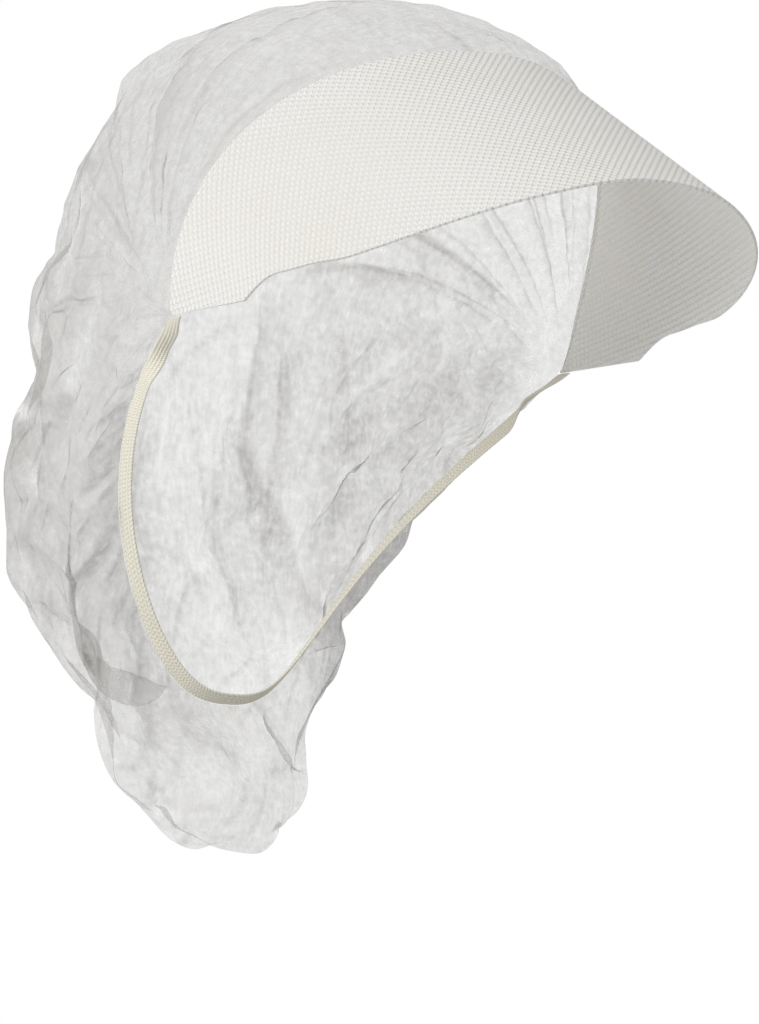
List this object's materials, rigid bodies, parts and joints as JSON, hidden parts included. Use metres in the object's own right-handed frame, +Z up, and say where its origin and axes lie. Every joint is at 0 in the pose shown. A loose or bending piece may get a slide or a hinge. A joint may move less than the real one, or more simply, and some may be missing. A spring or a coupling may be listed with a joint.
{
  "type": "disposable peaked cap",
  "caption": "Light bag cap of thin translucent nonwoven, with a stiff peak sewn along its front and an elastic round its back rim, in the form it holds on a head.",
  "frame": {"origin": "inside of the crown's top on the middle plane, where the wearer's head bears the cap", "axes": "+Z up, -Y towards the peak, X across the cap"},
  "size_m": [0.1654, 0.2394, 0.2518],
  "materials": {
    "crown_nonwoven": "translucent white spunbond",
    "peak_nonwoven": "matt white, stiff, dot embossed",
    "elastic_braid": "cream braid"
  },
  "bodies": {
    "root": {"crown": "crown_nonwoven", "peak": "peak_nonwoven", "rim_elastic": "elastic_braid"}
  },
  "joints": []
}
